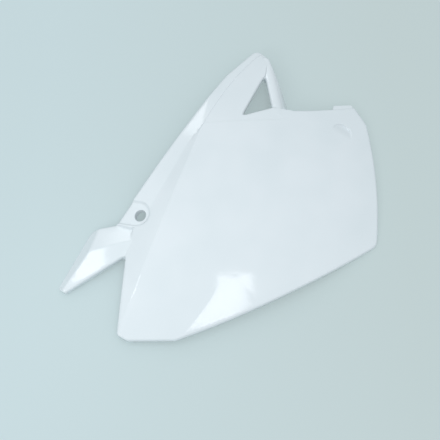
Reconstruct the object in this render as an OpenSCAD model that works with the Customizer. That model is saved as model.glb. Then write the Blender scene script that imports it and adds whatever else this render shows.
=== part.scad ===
// Left-hand side panel of an off-road motorbike: one white injection moulding with a
// crowned number face, a leaf-shaped bevel, an upper arm, a strut round a three-sided
// window and a ridged front spear. It lies on its rim, outer face up: X runs to the
// rear of the bike, Y up it, and Z out of it. The middle of its bounding box is at 0, 0.

/* [Moulding] */
// Wall of the skin and of the rim
wall = 2.4; // [1.8:0.1:3]
// Depth of the rim, the ribs and the bosses, measured down from the outer face
rim_h = 8; // [7:0.5:10]
// Thickness of a rib on the hidden side
rib_t = 1.8; // [1.2:0.1:2.4]

/* [Number face] */
// Height of the top of the crown above the table
crown_z = 42; // [40:0.5:44]
// Radius of the crowned face
crown_r = 780; // [720:10:900]
// Where the crown is highest, to the rear
crown_x = -42; // [-50:1:-34]
// Where the crown is highest, up the bike
crown_y = 20.5; // [14:0.5:28]
// Radius of the rolled lower skirt
skirt_r = 300; // [260:10:340]
// Half the angle of the bright corner that the skirt cuts from the face
skirt_half = 49; // [44:1:54]

/* [Bevel] */
// Slope of the leaf-shaped bevel in front of the number face
bevel_slope = 26; // [23:1:29]

/* [Arm and strut] */
// How far the arm lies below the number face where they meet
arm_step = 1.2; // [0.8:0.1:1.6]
// Slope of the arm towards its outer edge
arm_slope = 12; // [9:1:15]
// Radius of the rounded top of the strut
strut_r = 17; // [15:0.5:20]

/* [Spear] */
// Slope of the facet above the ridge
upper_slope = 13.9; // [11:0.1:15]
// Slope of the facet below the ridge
lower_slope = 13.3; // [11:0.1:15]
// Slope of the flank that comes down to the table
flank_slope = 51; // [46:1:56]

/* [Front fixing] */
// Diameter of the bore for the collar of the front bolt
front_bore_d = 14; // [10:0.5:15]
// Radius of the sunk seat round it
front_seat_r = 15; // [13:0.5:16]
// Slope of the seat towards the front of the bike
front_seat_slope = 16; // [12:1:18]
// Wall of the boss behind a bore
boss_wall = 3.5; // [2.5:0.5:5]

/* [Rear fixing] */
// Diameter of the bore for the rear bolt
rear_bore_d = 9; // [6:0.5:10]
// Radius of the level seat sunk in the falling face
rear_seat_r = 10.5; // [9.5:0.5:12]
// Height of that seat above the table
rear_seat_z = 13; // [12:0.5:14]

/* [Tongue] */
// How far the locating tongue lies below the face
tongue_drop = 0.6; // [0.3:0.1:1.2]
// Thickness of the tongue
tongue_t = 2.4; // [1.8:0.1:3]

/* [Hidden] */
$fn = 64;
ROUND = 360;      // facets of the large radii
STEPS = 8;        // straight pieces in a bowed edge
CORNER_SHARE = 0.48; // of an edge that one rounded corner may use
TALL = 80;        // taller than any wall
WIDE = 1200;      // wider than the panel from any point of it
BELOW = 5;        // start of a hollow, below the table
PROUD = 1;        // how far a cut runs past the outline
MIDDLE = [0.96, 0.73]; // of the bounding box that the outlines below make
SKIRT_CLEAR = 0.1; // between the skirt's drum and the face at their nearest point

// Outlines, anticlockwise: x, y, corner radius, and how far the edge to the next point
// bows out. Points marked hidden lie inside a neighbouring form.
PLATE = [
    [-108.6, -84, 0, 0],     // hidden, above the notch
    [-116, -176.5, 4, 0],    // lowest front corner
    [-104, -183.5, 10, 0],
    [-50, -183.5, 14, 7.5],  // foot of the long lower edge
    [184, -70, 16, 5.5],     // lower rear corner
    [181.5, 88, 14, 0],
    [167.5, 111.5, 4, -2],   // upper rear corner
    [87, 96.3, 0, 0],        // foot of the strut
    [63, 98.8, 0, 0],        // window, rear
    [26, 85.2, 1.5, 0],      // window, front
    [55.5, 147, 0, 0],       // window, top
    [58.5, 163, 0, 0],       // hidden
    [52, 180, 4, 0],         // peak
    [45, 174, 0, 4],
    [-19.8, 73, 0, 0],       // head of the bevel
    [-52, 28, 0, 0],         // hidden
    [-100, -50, 0, 0]        // hidden
];
ARM = [
    [-121, -48, 3, 0],       // meets the spear
    [-106, -53, 0, 0],
    [-84, -54, 0, 0],        // hidden
    [-40, 5, 0, 0],          // hidden
    [0, 70, 0, 0],           // hidden
    [30, 122, 0, 0],         // hidden
    [52, 150, 0, 0],         // hidden
    [61.5, 172, 4, 0],
    [47, 190, 9, 0],         // apex
    [8, 145, 60, 0.8]
];
STRUT = [
    [63.5, 88, 0, 0],        // hidden
    [91, 88, 0, 0],          // hidden
    [61.5, 174.5, 3, 0],
    [50, 176, 0, 0],         // hidden
    [50, 158, 0, 0],         // hidden
    [55.3, 147.5, 0, 0],     // window, top
    [57.6, 136, 0, 0]
];
SPEAR = [
    [-112, -40, 0, 0],       // hidden
    [-120, -47.6, 0, 0],
    [-153, -54, 9, 0],
    [-187.5, -121.5, 4, 0],
    [-177.5, -128.5, 3, 0],  // tip
    [-112, -87.6, 0, 0],     // notch
    [-96, -84, 0, 0],        // hidden
    [-84, -62, 0, 0],        // hidden
    [-90, -44, 0, 0]         // hidden
];
TAB = [
    [138, 96, 0, 0],         // hidden
    [167, 102, 0, 0],        // hidden
    [164.7, 113.9, 2.5, 0],
    [140.3, 109.4, 2.5, 0]
];

// The bevel leaves the face along a line from its head towards the front corner.
bevel_head = [-19.8, 73];
bevel_run = [-46.2, -121.5];
// The arm runs down from the head of the bevel, under the step.
arm_run = [-52.1, -85.4];
// The skirt: its corner on the face, and the bearing of its middle.
skirt_at = [7.1, -113.5];
skirt_bearing = -76;
// The strut's crest, at its middle: point, bearing and rise towards the face.
strut_at = [63, 132.5, 25.4];
strut_bearing = -81.3;
strut_rise = 6.9;
// The spear's ridge where it leaves the bevel, the foot of its flank, and the bearings
// in which its three facets fall.
ridge_at = [-101.8, -68.9, 22.2];
flank_at = [-170.5, -85, 0];
upper_bearing = 113.6;
lower_bearing = -86;
flank_bearing = 155;
front_at = [-93.5, -39.3, 23.5];
front_seat_bearing = 178;
rear_at = [150.9, 69.8, rear_seat_z];
rear_bore_at = rear_at + [-4, 3, 0];
// Ribs on the hidden side, from a boss to the rim or to the arm's end.
FRONT_RIBS = [[42, 171], [-140, -86], [-84, -92]];
REAR_RIBS = [[151, 106], [182, 80], [96, 52]];

function unit(v) = v / norm(v);
function flat(p) = [p[0], p[1]];
function height_on_crown(p) =
    crown_z - crown_r + sqrt(crown_r * crown_r - pow(norm(p - [crown_x, crown_y]), 2));

// One edge of an outline, bowed out where the outline says so.
function edge(v, w) =
    let (chord = flat(w) - flat(v), out = unit([chord[1], -chord[0]]), n = v[3] == 0 ? 1 : STEPS)
    [for (k = [0 : n - 1]) let (t = k / n, p = flat(v) + chord * t + out * 4 * v[3] * t * (1 - t))
        [p[0], p[1], k == 0 ? v[2] : 0]];

// One corner, rounded to its radius, or to what its shorter edge leaves room for.
function corner(a, b, c, radius) =
    radius == 0 ? [flat(b)] :
    let (
        ab = flat(a) - flat(b), cb = flat(c) - flat(b),
        u = unit(ab), v = unit(cb),
        half = acos(u * v) / 2,
        r = min(radius, min(norm(ab), norm(cb)) * tan(half) * CORNER_SHARE),
        centre = flat(b) + unit(u + v) * r / sin(half),
        from = flat(b) + u * r / tan(half) - centre,
        to = flat(b) + v * r / tan(half) - centre,
        start = atan2(from[1], from[0]),
        turn = (atan2(to[1], to[0]) - start + 540) % 360 - 180,
        n = max(2, ceil(abs(turn) / 18))
    )
    [for (k = [0 : n]) centre + r * [cos(start + turn * k / n), sin(start + turn * k / n)]];

function outline(vertices) =
    let (
        n = len(vertices),
        line = [for (i = [0 : n - 1]) each edge(vertices[i], vertices[(i + 1) % n])],
        m = len(line)
    )
    [for (i = [0 : m - 1]) each corner(line[(i + m - 1) % m], line[i], line[(i + 1) % m], line[i][2])];

// An outline moved in by d, or out where d is negative.
function moved_in(points, d) =
    let (n = len(points))
    [for (i = [0 : n - 1])
        let (
            e = unit(points[i] - points[(i + n - 1) % n]),
            f = unit(points[(i + 1) % n] - points[i]),
            a = [e[1], -e[0]], b = [f[1], -f[0]]
        )
        points[i] - d * (a + b) / (1 + a * b)];

module prism(vertices, inset, base) {
    translate([0, 0, -base])
        linear_extrude(TALL) polygon(moved_in(outline(vertices), inset));
}

// Each surface below is solid underneath, and d lowers it along its own normal.
module crown(d) {
    translate([crown_x, crown_y, crown_z - crown_r]) sphere(crown_r - d, $fn = ROUND);
}

// A cylinder whose crest passes through a point, running towards a bearing and falling.
module barrel(at, bearing, slope, r, d) {
    translate(at) rotate([0, slope, bearing]) translate([0, 0, -r])
        rotate([0, 90, 0]) cylinder(r = r - d, h = WIDE, center = true, $fn = ROUND);
}

// Everything under a plane through a point that falls towards a bearing.
module under(at, bearing, slope, d) {
    translate(at) rotate([0, slope, bearing])
        translate([-WIDE / 2, -WIDE / 2, -WIDE - d]) cube(WIDE);
}

// The bearing that looks out to the front of the bike, square to a run down its edge.
function outward(run) = atan2(-run[0], run[1]);

module bevel(d) {
    along = unit(bevel_run);
    top = bevel_head + along * (([crown_x, crown_y] - bevel_head) * along);
    barrel([top[0], top[1], height_on_crown(top)], outward(bevel_run),
        bevel_slope, crown_r / cos(bevel_slope), d);
}

// The rolled skirt: a drum that all but touches the face at one point, so that it cuts
// the face along two creases that start there and grow sharper towards the edge.
module skirt(d) {
    z = height_on_crown(skirt_at);
    down = unit([cos(skirt_bearing), sin(skirt_bearing)]);
    fall = asin(norm(skirt_at - [crown_x, crown_y]) / crown_r);
    away = skirt_at - [crown_x, crown_y];
    lean = atan2(away[1], away[0]);
    difference() {
        translate([skirt_at[0], skirt_at[1], 0]) rotate(skirt_bearing)
            linear_extrude(TALL)
                polygon([[0, 0], [90 * cos(skirt_half + 12), 90 * sin(skirt_half + 12)], [150, 0],
                    [90 * cos(skirt_half + 12), -90 * sin(skirt_half + 12)]]);
        translate([skirt_at[0], skirt_at[1], z]) rotate([0, 0, lean]) rotate([0, fall, 0])
            rotate([0, 0, skirt_bearing - lean]) translate([0, 0, SKIRT_CLEAR - skirt_r])
                rotate([90, 0, 0]) cylinder(r = skirt_r - d, h = WIDE, center = true, $fn = ROUND);
    }
}

// The number face with its bevel and skirt.
module face_form(d, inset, base) {
    difference() {
        intersection() {
            prism(PLATE, inset, base);
            crown(d);
            bevel(d);
        }
        skirt(d);
    }
}

// The upper arm: it follows the face one step lower, then falls away in front of it.
module arm_form(d, inset, base) {
    head_z = height_on_crown(bevel_head) - arm_step;
    intersection() {
        prism(ARM, inset, base);
        crown(arm_step + d);
        barrel([bevel_head[0], bevel_head[1], head_z], outward(arm_run), arm_slope, crown_r, d);
    }
}

module strut_form(d, inset, base) {
    intersection() {
        prism(STRUT, inset, base);
        barrel(strut_at, strut_bearing, -strut_rise, strut_r, d);
    }
}

module spear_form(d, inset, base) {
    intersection() {
        prism(SPEAR, inset, base);
        under(ridge_at, upper_bearing, upper_slope, d);
        under(ridge_at, lower_bearing, lower_slope, d);
        under(flank_at, flank_bearing, flank_slope, d);
    }
}

// The cut that leaves the front seat: round at the rear, open to the front.
module front_seat(d) {
    r = front_seat_r + d;
    translate(front_at) rotate([0, front_seat_slope, front_seat_bearing]) translate([0, 0, -d]) {
        cylinder(r = r, h = TALL);
        rotate(-30) translate([0, -r, 0]) cube([TALL, 2 * r, TALL]);
    }
}

module rear_seat(d) {
    translate(rear_at - [0, 0, d]) cylinder(r = rear_seat_r + d, h = TALL);
}

// The whole outer form, lowered by d and moved in by inset.
module form(d, inset, base) {
    difference() {
        union() {
            face_form(d, inset, base);
            arm_form(d, inset, base);
            strut_form(d, inset, base);
            spear_form(d, inset, base);
        }
        front_seat(d);
        rear_seat(d);
    }
}

module front_axis() {
    translate(front_at) rotate([0, front_seat_slope, front_seat_bearing]) children();
}

module rear_axis() {
    translate([rear_bore_at[0], rear_bore_at[1], 0]) children();
}

module rib(from, to) {
    run = to - flat(from);
    translate([from[0], from[1], 0]) rotate(atan2(run[1], run[0]))
        translate([0, -rib_t / 2, -BELOW]) cube([norm(run), rib_t, TALL]);
}

// Ribs and bosses, left standing in the hollow and cut to the rim's depth.
module stiffeners() {
    front_axis() cylinder(d = front_bore_d + 2 * boss_wall, h = TALL, center = true);
    rear_axis() cylinder(d = rear_bore_d + 2 * boss_wall, h = TALL, center = true);
    for (to = FRONT_RIBS) rib(front_at, to);
    for (to = REAR_RIBS) rib(rear_bore_at, to);
}

// The skin, rim, ribs and bosses.
module moulding() {
    difference() {
        form(0, 0, 0);
        difference() {
            form(wall, wall, BELOW);
            stiffeners();
        }
        translate([0, 0, -rim_h]) form(0, -PROUD, BELOW);
        front_axis() cylinder(d = front_bore_d, h = TALL, center = true);
        rear_axis() cylinder(d = rear_bore_d, h = TALL, center = true);
    }
}

// The tongue that slips into its slot at the upper rear corner.
module tongue() {
    difference() {
        intersection() {
            prism(TAB, 0, 0);
            crown(tongue_drop);
        }
        crown(tongue_drop + tongue_t);
    }
}

module side_panel() {
    color("white") translate([-MIDDLE[0], -MIDDLE[1], 0]) {
        moulding();
        tongue();
    }
}

side_panel();
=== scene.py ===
"""Dressed model of a moulded left-hand side panel for an off-road motorbike."""
import math

import bmesh
import bpy
import numpy as np
from mathutils import Matrix, Vector
from mathutils.geometry import delaunay_2d_cdt


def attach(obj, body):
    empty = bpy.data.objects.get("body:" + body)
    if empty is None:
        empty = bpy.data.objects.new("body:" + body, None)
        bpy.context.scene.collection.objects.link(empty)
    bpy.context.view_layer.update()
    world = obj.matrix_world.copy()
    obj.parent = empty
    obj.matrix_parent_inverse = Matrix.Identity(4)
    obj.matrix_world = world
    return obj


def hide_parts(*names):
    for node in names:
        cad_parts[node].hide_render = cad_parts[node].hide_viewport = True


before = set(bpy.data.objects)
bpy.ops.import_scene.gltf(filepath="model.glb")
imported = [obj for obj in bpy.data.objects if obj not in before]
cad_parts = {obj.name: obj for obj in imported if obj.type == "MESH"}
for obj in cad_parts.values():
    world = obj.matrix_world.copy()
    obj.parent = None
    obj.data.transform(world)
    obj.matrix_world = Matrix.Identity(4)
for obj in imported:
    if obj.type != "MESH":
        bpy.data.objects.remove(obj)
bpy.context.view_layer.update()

# Lengths are in millimetres until a mesh is made. The outlines keep the numbers of the
# part's source, whose bounding box has its middle at MIDDLE. A name that ends in AT is a
# place, and one in LEAN is a bearing and a slope in degrees.
MM = 0.001
MIDDLE = (0.96, 0.73)

WALL = 2.4
RIM = 8.0           # depth of the rim below the outer face
EDGE = 2.2          # radius of the rolled outer edge
LIP = 0.5           # radius of the lower lip of the rim
FOOT = 0.9          # fillet between the rim and the skin, on the hidden side

# the crowned face, the bevel and the arm that roll over its front, and the skirt
CROWN = (-42.0, 20.5, 42.0)
CROWN_R = 780.0
BEVEL_HEAD = (-19.8, 73.0)
BEVEL_RUN = (-46.2, -121.5)
BEVEL_SLOPE = 26.0
ARM_RUN = (-52.1, -85.4)
ARM_STEP = 1.2
ARM_SLOPE = 12.0
SKIRT_AT = (7.1, -113.5)
SKIRT_BEARING = -76.0
SKIRT_R = 300.0
SKIRT_LIFT = 0.08    # keeps the skirt from cutting the face at its own corner
SKIRT_PINCH = 1.02   # the skirt rolls a little faster than its radius
SKIRT_FADE = 20.0    # length over which its crease turns from crisp to soft
# the faint step below the window
STEP_LINE = ((-21.5, 73.0), (92.0, 84.0))
STEP_DROP = 0.3
STEP_WIDTH = 1.4
STEP_FADE = 30.0     # over which the step runs out towards the rear
# the strut beside the window, and the three faces of the spear
STRUT_AT = (63.0, 132.5, 25.4)
STRUT_BEARING = -81.3
STRUT_RISE = 6.9
STRUT_R = 12.5
RIDGE_AT = (-101.8, -68.9, 22.2)
UPPER_LEAN = (113.6, 13.9)
LOWER_LEAN = (-86.0, 13.3)
FLANK_AT = (-170.5, -85.0, 0.0)
FLANK_LEAN = (155.0, 51.0)
# how far the forms are blended where they meet
BEVEL_CREASE = 0.3
SKIRT_CREASE = 0.16
SKIRT_SOFT = 1.2     # added to the skirt's crease where it has faded
ARM_CREASE = 0.5
RIDGE_CREASE = 0.35
FLANK_CREASE = 1.4
ARM_JOIN = 0.45
STRUT_JOIN = 0.5
SPEAR_JOIN = 0.6
SEAT_JOIN = 0.9
RECESS_JOIN = 0.7
BARREL_SHARE = 0.94  # a barrel is round to this share of its radius, then straight
BARREL_SIDE = 2.6    # steepness of its straight side
PAST_REACH = 3.0     # steepness with which a form ends outside its own reach

# the sunk seat of the front hole, and its boss
FRONT_AT = (-93.5, -39.3, 23.5)
FRONT_LEAN = (178.0, 16.0)
FRONT_SEAT_R = 15.4
FRONT_SEAT_SHIFT = (3.2, -1.6)
FRONT_SEAT_OPENING = -12.0   # its open side, in degrees from the way it leans
FRONT_SEAT_FOOT = 1.6        # how far the foot of its wall lies inside its radius
FRONT_SEAT_STEEP = 1.7
FRONT_SEAT_SOFT = 1.1
FRONT_BORE_R = 7.0
FRONT_BORE_ROUND = 0.8
BOSS_WALL = 3.5
# the half-round recess at the rear, and the hole and boss behind it
RECESS_AT = (147.8, 70.3)
RECESS_LEAN = (34.0, 23.0)
RECESS_R = 13.5
RECESS_FOOT = 0.7
RECESS_STEEP = 2.6
RECESS_SOFT = 0.6
REAR_BORE_AT = (146.9, 72.8, 13.0)
REAR_BORE_R = 4.5
REAR_BORE_ROUND = 0.5
REAR_BOSS_H = 8.0
RIB_T = 1.8
TONGUE_DROP = 0.6    # of the tongue on the upper edge, below the face
TONGUE_T = 2.4

# x, y, corner radius, and how far the edge to the next point bows out
PANEL = [
    (-109.2, -86.0, 2.6, 0), (-116, -176.5, 5, 0), (-104, -183.5, 10, 0),
    (-50, -183.5, 14, 7.5), (184, -70, 15, 5.5), (181.5, 88, 14, 0),
    (167.5, 111.5, 5, -2), (88.4, 96.5, 2, 0), (61.6, 174.3, 4, 0), (47, 189.3, 10.2, 0),
    (8, 145, 60, 0.8), (-121, -48, 4, 0), (-153, -54, 9, 0), (-187.5, -121.5, 4.5, 0),
    (-177.5, -128.5, 4, 0),
]
WINDOW = [(26, 85.2, 2.2, 0), (63, 98.8, 2.2, 0), (57.6, 136, 8, 0), (55.4, 147.2, 2.2, 0)]
# how far each form of the outer face reaches
FACE_REACH = [
    (-108.6, -84, 0, 0), (-116, -176.5, 0, 0), (-104, -183.5, 0, 0), (-50, -183.5, 0, 7.5),
    (184, -70, 0, 5.5), (181.5, 88, 0, 0), (167.5, 111.5, 0, -2), (87, 96.3, 0, 0),
    (63, 98.8, 0, 0), (26, 85.2, 0, 0), (55.5, 147, 0, 0), (58.5, 163, 0, 0),
    (52, 180, 0, 0), (45, 174, 0, 4), (-19.8, 73, 0, 0), (-52, 28, 0, 0), (-100, -50, 0, 0),
]
ARM_REACH = [
    (-121, -48, 0, 0), (-106, -53, 0, 0), (-84, -54, 0, 0), (-40, 5, 0, 0), (0, 70, 0, 0),
    (30, 122, 0, 0), (52, 150, 0, 0), (61.5, 172, 0, 0), (47, 190, 0, 0), (8, 145, 0, 0.8),
]
STRUT_REACH = [
    (63.5, 88, 0, 0), (91, 88, 0, 0), (61.5, 174.5, 0, 0), (50, 176, 0, 0), (50, 158, 0, 0),
    (55.3, 147.5, 0, 0), (57.6, 136, 0, 0),
]
SPEAR_REACH = [
    (-112, -40, 0, 0), (-120, -47.6, 0, 0), (-153, -54, 0, 0), (-187.5, -121.5, 0, 0),
    (-177.5, -128.5, 0, 0), (-112, -87.6, 0, 0), (-96, -84, 0, 0), (-84, -62, 0, 0),
    (-90, -44, 0, 0),
]
TONGUE = [(138, 98, 0, 0), (166, 104, 0, 0), (164.7, 113.9, 2.5, 0), (140.3, 109.4, 2.5, 0)]
# where the ribs end that start at the two bosses
FRONT_RIBS = [(42, 171), (-140, -86), (-84, -92)]
REAR_RIBS = [(151, 106), (182, 80), (96, 52)]
RIB_REACH = 65.0     # height of a rib before it is cut to the hollow
RIB_BELOW = 5.0      # how far it then starts below the table
ABOVE = 60.0         # a height above the whole panel

# the meshes
OUTLINE_STEP = 2.2
OUTER_STEP = 0.8     # step of the lattice where the outer face bends
INNER_STEP = 1.0
CORE_STEP = 1.8
CORE_EDGE_STEP = 3.0
CORE_INSET = 1.0     # how far the space for stiffeners stays inside the outlines
CORE_LEAST = 0.3     # least height of that space
TONGUE_STEP = 2.0
ROW = 0.866          # row spacing of a lattice of even triangles
MARGIN = 0.6         # share of a lattice step that stays free along the outlines
GAP = 0.03           # least height between two rings of points
LEAST_Z = 0.08       # least height of the hidden side over the table
SMOOTH_BELOW = 35.0  # creases under this angle in degrees are shaded smooth
QUARTER = [math.radians(15 * k) for k in range(7)]     # a quarter turn in even steps


# Outlines

def bowed(points):
    """Corners and bowed edges as one loose polygon: x, y and corner radius."""
    line = []
    for i, (x, y, r, bow) in enumerate(points):
        nx, ny = points[(i + 1) % len(points)][:2]
        dx, dy = nx - x, ny - y
        size = math.hypot(dx, dy)
        n = 12 if bow else 1
        for k in range(n):
            t = k / n
            out = 4 * bow * t * (1 - t) / size
            line.append((x + dx * t + dy * out, y + dy * t - dx * out, r if k == 0 else 0))
    return line


def rounded(points, step):
    """The outline as evenly spaced points, anticlockwise, with its corners rounded."""
    line = bowed(points)
    out = []
    n = len(line)
    for i, (x, y, r) in enumerate(line):
        here = np.array((x, y))
        a = np.array(line[i - 1][:2]) - here
        b = np.array(line[(i + 1) % n][:2]) - here
        la, lb = np.linalg.norm(a), np.linalg.norm(b)
        a, b = a / la, b / lb
        half = math.acos(np.clip(a @ b, -1, 1)) / 2
        r = min(r, 0.48 * min(la, lb) * math.tan(half)) if r else 0
        if not r:
            out.append(here)
            continue
        centre = here + (a + b) / np.linalg.norm(a + b) * r / math.sin(half)
        p, q = here + a * r / math.tan(half) - centre, here + b * r / math.tan(half) - centre
        start = math.atan2(p[1], p[0])
        turn = (math.atan2(q[1], q[0]) - start + 3 * math.pi) % (2 * math.pi) - math.pi
        count = max(2, math.ceil(abs(turn) / math.radians(9)))
        out += [centre + r * np.array((math.cos(start + turn * k / count),
                                       math.sin(start + turn * k / count)))
                for k in range(count + 1)]
    loop = []
    for i, p in enumerate(out):
        q = out[(i + 1) % len(out)]
        count = max(1, math.ceil(np.linalg.norm(q - p) / step))
        loop += [p + (q - p) * k / count for k in range(count)]
    return np.array(loop)


def inset(loop, d):
    """The loop moved to its left by d, which is inwards on an anticlockwise outline."""
    e = loop - np.roll(loop, 1, axis=0)
    f = np.roll(loop, -1, axis=0) - loop
    e /= np.linalg.norm(e, axis=1)[:, None]
    f /= np.linalg.norm(f, axis=1)[:, None]
    a = np.stack((-e[:, 1], e[:, 0]), axis=1)
    b = np.stack((-f[:, 1], f[:, 0]), axis=1)
    return loop + d * (a + b) / (1 + (a * b).sum(axis=1))[:, None]


def outside_by(x, y, polygon):
    """Distance to a polygon, negative inside it."""
    pts = np.array(polygon)
    best = np.full(x.shape, 1e18)
    inside = np.zeros(x.shape, bool)
    for (ax, ay), (bx, by) in zip(pts, np.roll(pts, -1, axis=0)):
        dx, dy = bx - ax, by - ay
        t = np.clip(((x - ax) * dx + (y - ay) * dy) / (dx * dx + dy * dy), 0, 1)
        best = np.minimum(best, (x - ax - t * dx) ** 2 + (y - ay - t * dy) ** 2)
        cross = (ay > y) != (by > y)
        with np.errstate(divide="ignore", invalid="ignore"):
            inside ^= cross & (x < dx * (y - ay) / (dy if dy else 1e-9) + ax)
    return np.sqrt(best) * np.where(inside, -1, 1)


# The outer face as heights

def soft_min(a, b, k):
    """The lower of two heights, blended where they are within k of each other."""
    h = np.clip(0.5 + 0.5 * (b - a) / k, 0, 1)
    return b + (a - b) * h - k * h * (1 - h)


def soft_max(a, b, k):
    """The higher of two heights, blended in the same way."""
    return -soft_min(-a, -b, k)


def crown(x, y, drop=0.0):
    """The crowned face: a part of a large ball."""
    r = CROWN_R - drop
    return CROWN[2] - CROWN_R + np.sqrt(r * r - (x - CROWN[0]) ** 2 - (y - CROWN[1]) ** 2)


def barrel(x, y, at, bearing, slope, radius=None):
    """A surface that passes through a point and falls towards a bearing. It is flat
    across its fall, or round with a radius."""
    b, s = math.radians(bearing), math.radians(slope)
    along = (x - at[0]) * math.cos(b) + (y - at[1]) * math.sin(b)
    across = (y - at[1]) * math.cos(b) - (x - at[0]) * math.sin(b)
    sag = 0
    if radius:
        u = np.minimum(np.abs(across) / radius, BARREL_SHARE)
        straight = np.maximum(np.abs(across) - BARREL_SHARE * radius, 0)
        sag = radius * (np.sqrt(1 - u * u) - 1) - BARREL_SIDE * straight
    return at[2] + (sag - math.sin(s) * along) / math.cos(s)


def outward(run):
    """Bearing of the side to the right of a run."""
    return math.degrees(math.atan2(-run[0], run[1]))


def bevel(x, y):
    """The bevel: it leaves the face along the line from BEVEL_HEAD."""
    size = math.hypot(*BEVEL_RUN)
    ux, uy = BEVEL_RUN[0] / size, BEVEL_RUN[1] / size
    t = (CROWN[0] - BEVEL_HEAD[0]) * ux + (CROWN[1] - BEVEL_HEAD[1]) * uy
    top = (BEVEL_HEAD[0] + ux * t, BEVEL_HEAD[1] + uy * t)
    return barrel(x, y, (*top, crown(*top)), outward(BEVEL_RUN), BEVEL_SLOPE,
                  CROWN_R / math.cos(math.radians(BEVEL_SLOPE)))


def skirt(x, y):
    """The rolled skirt: level with the face at its corner, and rolling away from it."""
    z = crown(*SKIRT_AT)
    rise = z - (CROWN[2] - CROWN_R)
    sx, sy = (SKIRT_AT[0] - CROWN[0]) / rise, (SKIRT_AT[1] - CROWN[1]) / rise
    b = math.radians(SKIRT_BEARING)
    out = (x - SKIRT_AT[0]) * math.cos(b) + (y - SKIRT_AT[1]) * math.sin(b)
    out = np.maximum(out, 0)
    tangent = z + SKIRT_LIFT - sx * (x - SKIRT_AT[0]) - sy * (y - SKIRT_AT[1])
    return tangent - (SKIRT_R - np.sqrt(SKIRT_R ** 2 - out * out)) * SKIRT_PINCH


def face(x, y):
    """The large plate: crown, bevel and skirt, and the step below the window."""
    b = math.radians(SKIRT_BEARING)
    out = (x - SKIRT_AT[0]) * math.cos(b) + (y - SKIRT_AT[1]) * math.sin(b)
    side = (y - SKIRT_AT[1]) * math.cos(b) - (x - SKIRT_AT[0]) * math.sin(b)
    # the front crease of the skirt is crisp, and the rear one fades out
    fade = np.clip(0.5 + side / (np.abs(out) + SKIRT_FADE), 0, 1)
    z = soft_min(crown(x, y), bevel(x, y), BEVEL_CREASE)
    z = soft_min(z, skirt(x, y), SKIRT_CREASE + SKIRT_SOFT * fade ** 2)
    # the field below the window ends in a faint step
    (ax, ay), (bx, by) = STEP_LINE
    past = ((x - ax) * (ay - by) + (y - ay) * (bx - ax)) / math.hypot(bx - ax, by - ay)
    ends = np.clip((bx - x) / STEP_FADE, 0, 1)
    z = z - STEP_DROP * ends * np.clip(0.5 + past / STEP_WIDTH, 0, 1)
    return z - PAST_REACH * np.maximum(outside_by(x, y, FACE_POLYGON), 0)


def arm(x, y):
    """The arm in front of the face, a step below it, with its falling outer strip."""
    head = (*BEVEL_HEAD, crown(*BEVEL_HEAD) - ARM_STEP)
    fall = barrel(x, y, head, outward(ARM_RUN), ARM_SLOPE, CROWN_R)
    return (soft_min(crown(x, y, ARM_STEP), fall, ARM_CREASE)
            - PAST_REACH * np.maximum(outside_by(x, y, ARM_POLYGON), 0))


def strut(x, y):
    """The round strut that closes the window at the rear."""
    return (barrel(x, y, STRUT_AT, STRUT_BEARING, -STRUT_RISE, STRUT_R)
            - PAST_REACH * np.maximum(outside_by(x, y, STRUT_POLYGON), 0))


def spear(x, y):
    """The ridged spear: two facets that meet in a ridge, and a steep flank."""
    z = soft_min(barrel(x, y, RIDGE_AT, *UPPER_LEAN), barrel(x, y, RIDGE_AT, *LOWER_LEAN),
                 RIDGE_CREASE)
    z = soft_min(z, barrel(x, y, FLANK_AT, *FLANK_LEAN), FLANK_CREASE)
    return z - PAST_REACH * np.maximum(outside_by(x, y, SPEAR_POLYGON), 0)


def sunk(x, y, at, lean, radius, wall, soft, opening=None, shift=(0, 0)):
    """A round seat whose floor leans, and its wall. It can be open to one side."""
    b, slope = math.radians(lean[0]), math.radians(lean[1])
    # distances in the plane of the floor
    u = ((x - at[0]) * math.cos(b) + (y - at[1]) * math.sin(b)) / math.cos(slope) - shift[0]
    v = (y - at[1]) * math.cos(b) - (x - at[0]) * math.sin(b) - shift[1]
    if opening is not None:
        w = math.radians(opening)
        along, v = u * math.cos(w) + v * math.sin(w), v * math.cos(w) - u * math.sin(w)
        u = np.minimum(along, 0)
    past_foot = soft_max(np.hypot(u, v) - radius, np.zeros_like(x), soft)
    return barrel(x, y, at, *lean) + wall * past_foot


def front_seat(x, y):
    """The sunk seat of the front hole, open towards the panel's front edge."""
    return sunk(x, y, FRONT_AT, FRONT_LEAN, FRONT_SEAT_R - FRONT_SEAT_FOOT, FRONT_SEAT_STEEP,
                FRONT_SEAT_SOFT, FRONT_SEAT_OPENING, FRONT_SEAT_SHIFT)


def recess(x, y):
    """The half-round recess: its floor meets the face along a diameter."""
    return sunk(x, y, (*RECESS_AT, crown(*RECESS_AT)), RECESS_LEAN, RECESS_R - RECESS_FOOT,
                RECESS_STEEP, RECESS_SOFT)


def outer(x, y):
    """Height of the outer face at a place, all forms and seats together."""
    z = soft_max(face(x, y), arm(x, y), ARM_JOIN)
    z = soft_max(z, strut(x, y), STRUT_JOIN)
    z = soft_max(z, spear(x, y), SPEAR_JOIN)
    z = soft_min(z, front_seat(x, y), SEAT_JOIN)
    return soft_min(z, recess(x, y), RECESS_JOIN)


def inner(x, y):
    """Height of the hidden side of the skin: the lowest reach of a ball of one wall's
    radius whose middle runs over the outer face, so that the wall is even everywhere."""
    z = outer(x, y) - WALL
    for share in (0.25, 0.5, 0.75, 0.95):
        side, drop = WALL * share, WALL * math.sqrt(1 - share * share)
        for turn in np.radians(np.arange(0, 360, 30)):
            z = np.minimum(z, outer(x + side * math.cos(turn), y + side * math.sin(turn)) - drop)
    return z


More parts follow.
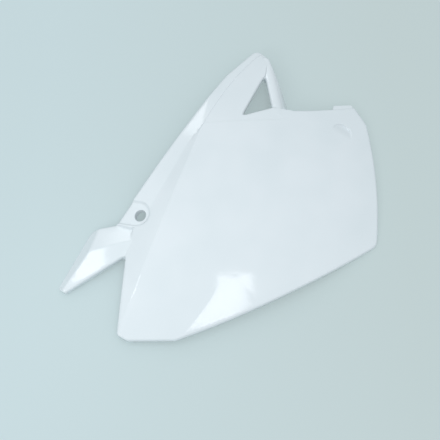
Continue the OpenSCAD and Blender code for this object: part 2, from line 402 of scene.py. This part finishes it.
FACE_POLYGON = [p[:2] for p in bowed(FACE_REACH)]
ARM_POLYGON = [p[:2] for p in bowed(ARM_REACH)]
STRUT_POLYGON = [p[:2] for p in bowed(STRUT_REACH)]
SPEAR_POLYGON = [p[:2] for p in bowed(SPEAR_REACH)]


# The moulding

def lattice(loops, fine, times, bend, reach):
    """Points inside the loops: a fine lattice where the face bends within a reach, a
    coarse one elsewhere."""
    outline, holes = loops[0], loops[1:]
    low, high = outline.min(axis=0), outline.max(axis=0)
    cols, rows = (np.ceil((high - low) / (fine, fine * ROW)) + 1).astype(int)
    i, j = np.meshgrid(np.arange(cols), np.arange(rows))
    x = low[0] + (i + 0.5 * (j % 2)) * fine
    y = low[1] + j * fine * ROW
    coarse = ((j % times) == 0) & (((i + (j // times % 2) * (times // 2)) % times) == 0)
    z = outer(x, y)
    curve = np.abs(outer(x + reach, y) + outer(x - reach, y) - 2 * z) / reach ** 2
    curve += np.abs(outer(x, y + reach) + outer(x, y - reach) - 2 * z) / reach ** 2
    keep = coarse | (curve > bend)
    inside = outside_by(x, y, outline) < -MARGIN * fine
    for hole in holes:
        inside &= outside_by(x, y, hole) > MARGIN * fine
    keep &= inside
    return np.stack((x[keep], y[keep]), axis=1)


def spread(loops, points):
    """Triangles over the loops and the points between them."""
    verts, edges = [], []
    for loop in loops:
        n = len(verts)
        verts += [Vector(p) for p in loop]
        edges += [(n + k, n + (k + 1) % len(loop)) for k in range(len(loop))]
    fixed = len(verts)
    verts += [Vector(p) for p in points]
    inside_only, same_place = 1, 1e-5
    out, _, faces, origin, _, _ = delaunay_2d_cdt(verts, edges, [], inside_only, same_place)
    xy = np.array([tuple(v) for v in out])
    back = [o[0] if o else -1 for o in origin]
    # clear each hole: spread from the triangle at its middle as far as its own edge
    fence = {frozenset(e) for e in edges}
    beside = {}
    for n, f in enumerate(faces):
        for a, b in zip(f, f[1:] + f[:1]):
            beside.setdefault(frozenset((a, b)), []).append(n)
    centre = xy[np.array(faces)].mean(axis=1)
    gone = set()
    for hole in loops[1:]:
        todo = [int(np.argmin(((centre - hole.mean(axis=0)) ** 2).sum(axis=1)))]
        while todo:
            n = todo.pop()
            if n in gone:
                continue
            gone.add(n)
            f = faces[n]
            for a, b in zip(f, f[1:] + f[:1]):
                if frozenset((back[a], back[b])) not in fence:
                    todo += beside[frozenset((a, b))]
    return xy, [f for n, f in enumerate(faces) if n not in gone], back, fixed


def shell():
    """The skin and its rim, as one closed mesh."""
    loops = [rounded(PANEL, OUTLINE_STEP), rounded(WINDOW, OUTLINE_STEP)[::-1]]
    rows = []       # for each ring from the outer face round to the hidden one
    for loop in loops:
        ring = []
        edge_z = outer(*loop.T)
        base = np.maximum(edge_z - RIM, 0)
        # the roll gets flatter where the edge is low
        room = np.clip((edge_z - base) / (RIM / 2), 0, 1)
        for k, turn in enumerate(QUARTER):
            p = inset(loop, EDGE * (1 - math.sin(turn)))
            drop = EDGE * (1 - math.cos(turn)) * room
            z = np.maximum(outer(*p.T) - drop, base + GAP * (len(QUARTER) - k))
            ring.append(np.column_stack((p, z)))
        wall_top = ring[-1][:, 2]
        lip = np.minimum(LIP, (wall_top - base) * 0.4)
        ring.append(np.column_stack((loop, base + lip)))
        for share in (0.3, 1):
            turn = math.radians(90 * share)
            p = inset(loop, LIP * (1 - math.cos(turn)))
            ring.append(np.column_stack((p, base + lip * (1 - math.sin(turn)))))
        ring.append(np.column_stack((inset(loop, WALL - LIP), base)))
        foot = inset(loop, WALL + FOOT)
        roof = np.maximum(inner(*foot.T), base + 2 * GAP)
        gap = roof - base
        ring.append(np.column_stack((inset(loop, WALL), base + np.minimum(LIP, gap * 0.3))))
        ring.append(np.column_stack((inset(loop, WALL), base + np.maximum(gap * 0.6, gap - FOOT))))
        ring.append(np.column_stack((inset(loop, WALL + 0.3 * FOOT),
                                     base + np.maximum(gap * 0.85, gap - 0.3 * FOOT))))
        ring.append(np.column_stack((foot, roof)))
        rows.append(ring)

    verts, faces = [], []
    starts = []
    for ring in rows:
        starts.append([])
        for loop in ring:
            starts[-1].append(len(verts))
            verts += loop.tolist()
        n = len(ring[0])
        for a, b in zip(starts[-1], starts[-1][1:]):
            faces += [(a + k, b + k, b + (k + 1) % n, a + (k + 1) % n) for k in range(n)]

    # which ring it joins, its height, the fine step, how many of those make a coarse
    # one, the bend per millimetre that asks for the fine one, and how far that reaches
    for which, height, fine, times, bend, reach in (
            (0, outer, OUTER_STEP, 3, 0.012, OUTER_STEP), (-1, inner, INNER_STEP, 4, 0.02, WALL)):
        edge_loops = [ring[which][:, :2] for ring in rows]
        xy, tris, back, fixed = spread(edge_loops,
                                       lattice(edge_loops, fine, times, bend, reach))
        known = {}
        first = 0
        for ring, start in zip(rows, starts):
            for k in range(len(ring[which])):
                known[first + k] = start[which] + k
            first += len(ring[which])
        z = height(*xy.T)
        if which:
            z = np.maximum(z, LEAST_Z)
        index = []
        for k, o in enumerate(back):
            if 0 <= o < fixed:
                index.append(known[o])
            else:
                index.append(len(verts))
                verts.append((xy[k, 0], xy[k, 1], z[k]))
        faces += [tuple(index[c] for c in (f if which == 0 else f[::-1])) for f in tris]
    return verts, faces


def make(name, verts, faces):
    """An object from points in the source's millimetres, with its faces outwards."""
    mesh = bpy.data.meshes.new(name)
    place = np.array(verts) - (*MIDDLE, 0)
    mesh.from_pydata((place * MM).tolist(), [], faces)
    piece = bpy.data.objects.new(name, mesh)
    bpy.context.scene.collection.objects.link(piece)
    work = bmesh.new()
    work.from_mesh(mesh)
    bmesh.ops.recalc_face_normals(work, faces=work.faces)
    if work.calc_volume(signed=True) < 0:
        bmesh.ops.reverse_faces(work, faces=work.faces)
    work.to_mesh(mesh)
    work.free()
    return piece


def prism(name, outline, top, bottom):
    """A closed slab over an outline, between two height functions."""
    z = [h(*outline.T) for h in (bottom, top)]
    n = len(outline)
    verts = np.vstack([np.column_stack((outline, h)) for h in z])
    faces = [(k, (k + 1) % n, n + (k + 1) % n, n + k) for k in range(n)]
    faces += [tuple(range(n))[::-1], tuple(range(n, 2 * n))]
    return make(name, verts, faces)


def turned(profile, count=72):
    """A closed body turned about the Z axis from a profile of radius and height."""
    verts, faces = [], []
    for r, z in profile:
        verts += [(r * math.cos(2 * math.pi * k / count), r * math.sin(2 * math.pi * k / count), z)
                  for k in range(count)]
    for a in range(len(profile) - 1):
        faces += [(a * count + k, a * count + (k + 1) % count,
                   (a + 1) * count + (k + 1) % count, (a + 1) * count + k) for k in range(count)]
    faces += [tuple(range(count))[::-1],
              tuple(range((len(profile) - 1) * count, len(profile) * count))]
    return verts, faces


def stand(points, at, bearing=0.0, lean=0.0):
    """Points turned to lean towards a bearing, and moved to a place."""
    turn = (Matrix.Rotation(math.radians(bearing), 3, "Z")
            @ Matrix.Rotation(math.radians(lean), 3, "Y"))
    return [tuple(turn @ Vector(p) + Vector(at)) for p in points]


def bake(piece):
    """The piece's modifiers made part of its mesh, and removed."""
    bpy.context.view_layer.update()
    result = bpy.data.meshes.new_from_object(
        piece.evaluated_get(bpy.context.evaluated_depsgraph_get()))
    piece.modifiers.clear()
    old = piece.data
    piece.data = result
    bpy.data.meshes.remove(old)


def combine(piece, other, how):
    """A boolean of two closed meshes, left in the first. The second is used up."""
    step = piece.modifiers.new(how, "BOOLEAN")
    step.operation = how
    step.solver = "MANIFOLD"
    step.object = other
    bake(piece)
    spent = other.data
    bpy.data.objects.remove(other)
    bpy.data.meshes.remove(spent)


def bore_cutter(name, at, bearing, lean, radius, round_r):
    """A drill with a flared mouth, so that the bore's edge comes out rounded."""
    below, above, flare = 30.0, 12.0, 0.3
    profile = [(radius, -below)]
    profile += [(radius + round_r * (1 - math.cos(turn)), -round_r * (1 - math.sin(turn)))
                for turn in QUARTER]
    profile += [(radius + round_r + flare, 2 * flare), (radius + round_r + flare, above)]
    verts, faces = turned(profile)
    return make(name, stand(verts, at, bearing, lean), faces)


def stiffener_core():
    """The space that ribs and bosses may fill: from inside the skin to the rim's depth."""
    loop = inset(rounded(PANEL, CORE_EDGE_STEP), CORE_INSET)
    hole = inset(rounded(WINDOW, CORE_EDGE_STEP)[::-1], CORE_INSET)
    xy, tris, _, _ = spread([loop, hole], lattice([loop, hole], CORE_STEP, 3, 0.02, CORE_STEP))
    z = outer(*xy.T)
    top = z - WALL / 2
    low = np.minimum(np.maximum(z - RIM, 0.0), top - CORE_LEAST)
    n = len(xy)
    verts = np.vstack((np.column_stack((xy, top)), np.column_stack((xy, low))))
    faces = [tuple(f) for f in tris] + [tuple(n + c for c in f[::-1]) for f in tris]
    sides = dict.fromkeys(side for f in tris for side in zip(f, f[1:] + f[:1]))
    faces += [(a, n + a, n + b, b) for a, b in sides if (b, a) not in sides]
    return make("stiffener_core", verts, faces)


def rib_tree():
    """Upright blades along the lines of a mesh, joined where they meet."""
    tree = bpy.data.node_groups.new("ribs_along_lines", "GeometryNodeTree")
    sockets = tree.interface
    sockets.new_socket("Lines", in_out="INPUT", socket_type="NodeSocketGeometry")
    sockets.new_socket("Thickness", in_out="INPUT", socket_type="NodeSocketFloat")
    sockets.new_socket("Height", in_out="INPUT", socket_type="NodeSocketFloat")
    sockets.new_socket("Plastic", in_out="INPUT", socket_type="NodeSocketMaterial")
    sockets.new_socket("Ribs", in_out="OUTPUT", socket_type="NodeSocketGeometry")
    given = add(tree, "NodeGroupInput").outputs
    line = add(tree, "GeometryNodeMeshToCurve", {"Mesh": given["Lines"]})
    section = add(tree, "GeometryNodeCurvePrimitiveQuadrilateral",
                  {"Width": given["Thickness"], "Height": given["Height"]})
    blade = add(tree, "GeometryNodeCurveToMesh",
                {"Curve": line.outputs[0], "Profile Curve": section.outputs[0]},
                {"Fill Caps": True})
    joined = add(tree, "GeometryNodeMeshBoolean", {"Mesh 2": blade.outputs[0]},
                 {"Self Intersection": True}, operation="UNION", solver="EXACT")
    real = add(tree, "GeometryNodeRealizeInstances", {"Geometry": joined.outputs[0]})
    done = add(tree, "GeometryNodeSetMaterial",
               {"Geometry": real.outputs[0], "Material": given["Plastic"]})
    add(tree, "NodeGroupOutput", {"Ribs": done.outputs[0]})
    return tree


def ribs(plastic):
    """The ribs of the hidden side, from the two bosses outwards."""
    ends = [(start, end) for start, row in ((FRONT_AT, FRONT_RIBS), (REAR_BORE_AT, REAR_RIBS))
            for end in row]
    verts = [((x - MIDDLE[0]) * MM, (y - MIDDLE[1]) * MM, (RIB_REACH / 2 - RIB_BELOW) * MM)
             for pair in ends for x, y in (p[:2] for p in pair)]
    lines = bpy.data.meshes.new("rib_lines")
    lines.from_pydata(verts, [(2 * k, 2 * k + 1) for k in range(len(ends))], [])
    piece = bpy.data.objects.new("ribs", lines)
    bpy.context.scene.collection.objects.link(piece)
    tree = rib_tree()
    step = piece.modifiers.new("ribs", "NODES")
    step.node_group = tree
    values = {"Thickness": RIB_T * MM, "Height": RIB_REACH * MM, "Plastic": plastic}
    for socket in tree.interface.items_tree:
        if socket.in_out == "INPUT" and socket.name in values:
            step[socket.identifier] = values[socket.name]
    bake(piece)
    return piece


def rear_boss():
    """The boss behind the recess, whose top follows the skin above it."""
    reach, low = REAR_BORE_R + BOSS_WALL, REAR_BORE_AT[2] - REAR_BOSS_H
    verts, faces = turned([(reach - LIP, low), (reach - 0.3 * LIP, low + 0.3 * LIP),
                           (reach, low + LIP), (reach, ABOVE)])
    verts = np.array(stand(verts, (*REAR_BORE_AT[:2], 0)))
    top = verts[:, 2] > ABOVE - 1
    verts[top, 2] = outer(*verts[top, :2].T) - WALL / 2
    return make("rear_boss", verts, faces)


def rear_drill():
    """The rear hole, bored from the hidden side and ending under the recess."""
    low, below = REAR_BORE_AT[2] - REAR_BOSS_H, 6.0
    profile = [(REAR_BORE_R + REAR_BORE_ROUND, low - below)]
    profile += [(REAR_BORE_R + REAR_BORE_ROUND * (1 - math.sin(turn)),
                 low + REAR_BORE_ROUND * (1 - math.cos(turn))) for turn in QUARTER]
    profile.append((REAR_BORE_R, REAR_BORE_AT[2]))
    verts, faces = turned(profile)
    return make("rear_drill", stand(verts, (*REAR_BORE_AT[:2], 0)), faces)


def moulding(plastic):
    """The whole panel as one mesh: skin, rim, ribs, bosses and tongue, with its bores."""
    panel = make("panel_moulding", *shell())
    stiffeners = ribs(plastic)
    reach, half_length = FRONT_BORE_R + BOSS_WALL, 40
    verts, faces = turned([(reach, -half_length), (reach, half_length)])
    combine(stiffeners, make("boss", stand(verts, FRONT_AT, *FRONT_LEAN), faces), "UNION")
    combine(stiffeners, stiffener_core(), "INTERSECT")
    combine(panel, stiffeners, "UNION")
    combine(panel, rear_boss(), "UNION")
    combine(panel, prism("tongue", rounded(TONGUE, TONGUE_STEP), lambda x, y: crown(x, y, TONGUE_DROP),
                         lambda x, y: crown(x, y, TONGUE_DROP + TONGUE_T)), "UNION")
    combine(panel, bore_cutter("front_drill", FRONT_AT, *FRONT_LEAN, FRONT_BORE_R,
                               FRONT_BORE_ROUND), "DIFFERENCE")
    combine(panel, rear_drill(), "DIFFERENCE")
    mesh = panel.data
    for polygon in mesh.polygons:
        polygon.use_smooth = True
    mesh.set_sharp_from_angle(angle=math.radians(SMOOTH_BELOW))
    return panel


# Materials

def linear(code):
    """An sRGB hex value as linear red, green, blue and full alpha."""
    parts = [int(code[k:k + 2], 16) / 255 for k in (0, 2, 4)]
    return (*[c / 12.92 if c <= 0.04045 else ((c + 0.055) / 1.055) ** 2.4 for c in parts], 1)


def add(tree, kind, links=None, inputs=None, **settings):
    """One node: its settings, its input values, and the sockets that feed it."""
    node = tree.nodes.new(kind)
    for key, value in settings.items():
        setattr(node, key, value)
    for key, value in (inputs or {}).items():
        node.inputs[key].default_value = value
    for key, socket in (links or {}).items():
        tree.links.new(socket, node.inputs[key])
    return node


def blank_material(name):
    """A material with an empty tree."""
    material = bpy.data.materials.new(name)
    material.use_nodes = True
    tree = material.node_tree
    tree.nodes.clear()
    return material, tree


def moulded_polypropylene():
    """Glossy white polypropylene, as it leaves a polished mould: a bright, slightly cool
    white whose gloss is soft, because the skin is never quite flat, with fine rubs from
    handling."""
    material, tree = blank_material("glossy_white_polypropylene")
    place = add(tree, "ShaderNodeTexCoord").outputs["Object"]
    # slow waviness of a large thin moulding, some 45 mm across
    wave = add(tree, "ShaderNodeTexNoise", {"Vector": place}, {"Scale": 22.0, "Detail": 1.0})
    # the skin's own fine grain, drawn at about 1 mm so that it shows at all
    grain = add(tree, "ShaderNodeTexNoise", {"Vector": place}, {"Scale": 900.0, "Detail": 2.0})
    # rubs from handling: long thin streaks along the panel
    stretch = add(tree, "ShaderNodeMapping", {"Vector": place},
                  {"Rotation": (0, 0, math.radians(35)), "Scale": (18.0, 260.0, 18.0)})
    rubs = add(tree, "ShaderNodeTexNoise", {"Vector": stretch.outputs[0]},
               {"Scale": 1.0, "Detail": 4.0, "Roughness": 0.65})
    rubbed = add(tree, "ShaderNodeMapRange", {"Value": rubs.outputs["Fac"]},
                 {"From Min": 0.6, "From Max": 0.78, "To Min": 0.0, "To Max": 1.0})
    tint = add(tree, "ShaderNodeValToRGB", {"Fac": wave.outputs["Fac"]})
    tint.color_ramp.elements[0].position = 0.3
    tint.color_ramp.elements[0].color = linear("E4EBEE")
    tint.color_ramp.elements[1].position = 0.7
    tint.color_ramp.elements[1].color = linear("E8EEF1")
    gloss = add(tree, "ShaderNodeMapRange", {"Value": rubbed.outputs[0]},
                {"From Min": 0.0, "From Max": 1.0, "To Min": 0.09, "To Max": 0.14})
    bump = add(tree, "ShaderNodeBump", {"Height": wave.outputs["Fac"]},
               {"Strength": 0.05, "Distance": 0.002})
    fine = add(tree, "ShaderNodeBump", {"Height": grain.outputs["Fac"],
                                        "Normal": bump.outputs["Normal"]},
               {"Strength": 0.03, "Distance": 0.0003})
    shader = add(tree, "ShaderNodeBsdfPrincipled",
                 {"Base Color": tint.outputs["Color"], "Roughness": gloss.outputs[0],
                  "Normal": fine.outputs["Normal"]},
                 {"IOR": 1.49, "Metallic": 0.0})
    add(tree, "ShaderNodeOutputMaterial", {"Surface": shader.outputs[0]})
    return material


def table_laminate():
    """Pale laminate of a photo table: a flat, cool grey-green white with a soft sheen. Its colour is
    painted darker towards the right, a painted falloff of the light.
    """
    material, tree = blank_material("pale_table_laminate_painted_falloff")
    place = add(tree, "ShaderNodeTexCoord").outputs["Object"]
    split = add(tree, "ShaderNodeSeparateXYZ", {"Vector": place})
    # painted shade: the table's colour darkens from left to right, standing in for the light falling
    # off across the table
    across = add(tree, "ShaderNodeMapRange", {"Value": split.outputs["X"]},
                 {"From Min": -0.22, "From Max": 0.22, "To Min": 0.0, "To Max": 1.0})
    tint = add(tree, "ShaderNodeValToRGB", {"Fac": across.outputs[0]})
    tint.color_ramp.elements[0].color = linear("CADBDE")
    tint.color_ramp.elements[1].color = linear("C6D4D4")
    grain = add(tree, "ShaderNodeTexNoise", {"Vector": place}, {"Scale": 400.0, "Detail": 2.0})
    bump = add(tree, "ShaderNodeBump", {"Height": grain.outputs["Fac"]},
               {"Strength": 0.04, "Distance": 0.0005})
    shader = add(tree, "ShaderNodeBsdfPrincipled",
                 {"Base Color": tint.outputs["Color"], "Normal": bump.outputs["Normal"]},
                 {"Roughness": 0.6, "IOR": 1.45})
    # half of what the camera or a reflection sees is the plain colour, so that the
    # shadows stay as light as in a photo booth
    plain = add(tree, "ShaderNodeEmission", {"Color": tint.outputs["Color"]}, {"Strength": 1.0})
    path = add(tree, "ShaderNodeLightPath").outputs
    seen = add(tree, "ShaderNodeMath", {0: path["Is Camera Ray"], 1: path["Is Glossy Ray"]},
               operation="ADD")
    seen = add(tree, "ShaderNodeMath", {0: seen.outputs[0], 1: path["Is Transmission Ray"]},
               operation="ADD", use_clamp=True)
    share = add(tree, "ShaderNodeMath", {0: seen.outputs[0]}, {1: 0.5}, operation="MULTIPLY")
    mixed = add(tree, "ShaderNodeMixShader",
                {0: share.outputs[0], 1: shader.outputs[0], 2: plain.outputs[0]})
    add(tree, "ShaderNodeOutputMaterial", {"Surface": mixed.outputs[0]})
    return material


# The object

polypropylene = moulded_polypropylene()
panel = moulding(polypropylene)
panel.data.materials.clear()
panel.data.materials.append(polypropylene)
for polygon in panel.data.polygons:
    polygon.material_index = 0
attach(panel, "root")
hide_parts("side_panel")


# Table, light and camera, in metres

TABLE_HALF = 3.0
TABLE_DROP = 0.0002     # keeps the table clear of the rim that stands on it
WALL_LEVEL = 0.16       # brightness of the room at the horizon
CEILING_LEVEL = 1.14    # and overhead
CAMERA_LENS = 60
CAMERA_SENSOR = 36
CAMERA_AIM = (-0.7, -43.5, 20)     # in the source's millimetres
CAMERA_TILT = 70                   # degrees above the table
CAMERA_AWAY = 0.8543

floor_mesh = bpy.data.meshes.new("table_top")
floor_mesh.from_pydata([(x * TABLE_HALF, y * TABLE_HALF, 0)
                        for x, y in ((-1, -1), (1, -1), (1, 1), (-1, 1))], [], [(0, 1, 2, 3)])
table = bpy.data.objects.new("table_top", floor_mesh)
bpy.context.scene.collection.objects.link(table)
table.location = (0, 0, -TABLE_DROP)
floor_mesh.materials.append(table_laminate())


def soft_box(name, place, size, power, turn=0.0, aim=None):
    """A rectangular lamp that faces straight down, or a point if one is given."""
    lamp = bpy.data.lights.new(name, "AREA")
    lamp.shape = "RECTANGLE"
    lamp.size, lamp.size_y = size
    lamp.energy = power
    lamp.color = linear("FBFDFF")[:3]
    light = bpy.data.objects.new(name, lamp)
    light.location = place
    light.rotation_euler = (0, 0, math.radians(turn))
    if aim:
        light.rotation_euler = (Vector(aim) - Vector(place)).to_track_quat("-Z", "Y").to_euler()
    light.visible_camera = False
    bpy.context.scene.collection.objects.link(light)


# Three boxes are each mirrored mainly by one form: the skirt shows the first, the
# spear's lower facet the second and the falling strip of the arm the third. The face
# between them shows none.
soft_box("skirt_box", (0.215, -0.47, 1.25), (0.20, 0.56), 1.6)
soft_box("spear_box", (-0.1885, -0.135, 0.25), (0.053, 0.06), 0.045)
soft_box("arm_box", (-0.34, 1.30, 1.0), (0.16, 0.97), 1.5, -23)
# The others light the flanks and rolled edges that face left and forwards.
soft_box("left_box", (-1.1, 0.3, 0.75), (0.9, 0.9), 0.6, aim=(0, 0, 0))
soft_box("front_box", (-0.85, -0.95, 0.95), (0.5, 0.5), 3.0, aim=(0, 0, 0))

world = bpy.data.worlds.new("pale_room")
bpy.context.scene.world = world
world.use_nodes = True
world.node_tree.nodes.clear()
up = add(world.node_tree, "ShaderNodeTexCoord").outputs["Generated"]
up = add(world.node_tree, "ShaderNodeSeparateXYZ", {"Vector": up}).outputs["Z"]
# a pale ceiling over darker walls; behind the table the camera sees a plain pale colour
level = add(world.node_tree, "ShaderNodeMapRange", {"Value": up},
            {"From Min": 0.0, "From Max": 1.0, "To Min": WALL_LEVEL, "To Max": CEILING_LEVEL})
room = add(world.node_tree, "ShaderNodeBackground", {"Strength": level.outputs[0]},
           {"Color": linear("F0F7FB")})
backdrop = add(world.node_tree, "ShaderNodeBackground", None, {"Color": linear("C6D4D4")})
seen = add(world.node_tree, "ShaderNodeLightPath").outputs["Is Camera Ray"]
mixed = add(world.node_tree, "ShaderNodeMixShader",
            {0: seen, 1: room.outputs[0], 2: backdrop.outputs[0]})
add(world.node_tree, "ShaderNodeOutputWorld", {"Surface": mixed.outputs[0]})

camera_data = bpy.data.cameras.new("photo_camera")
camera = bpy.data.objects.new("photo_camera", camera_data)
bpy.context.scene.collection.objects.link(camera)
bpy.context.scene.camera = camera
camera_data.lens = CAMERA_LENS
camera_data.sensor_width = CAMERA_SENSOR
camera_data.sensor_fit = "HORIZONTAL"
aim = Vector((CAMERA_AIM[0] - MIDDLE[0], CAMERA_AIM[1] - MIDDLE[1], CAMERA_AIM[2])) * MM
tilt = math.radians(CAMERA_TILT)
camera.location = aim + CAMERA_AWAY * Vector((0, -math.cos(tilt), math.sin(tilt)))
camera.rotation_euler = (aim - camera.location).to_track_quat("-Z", "Y").to_euler()

bpy.context.scene.view_settings.view_transform = "Standard"
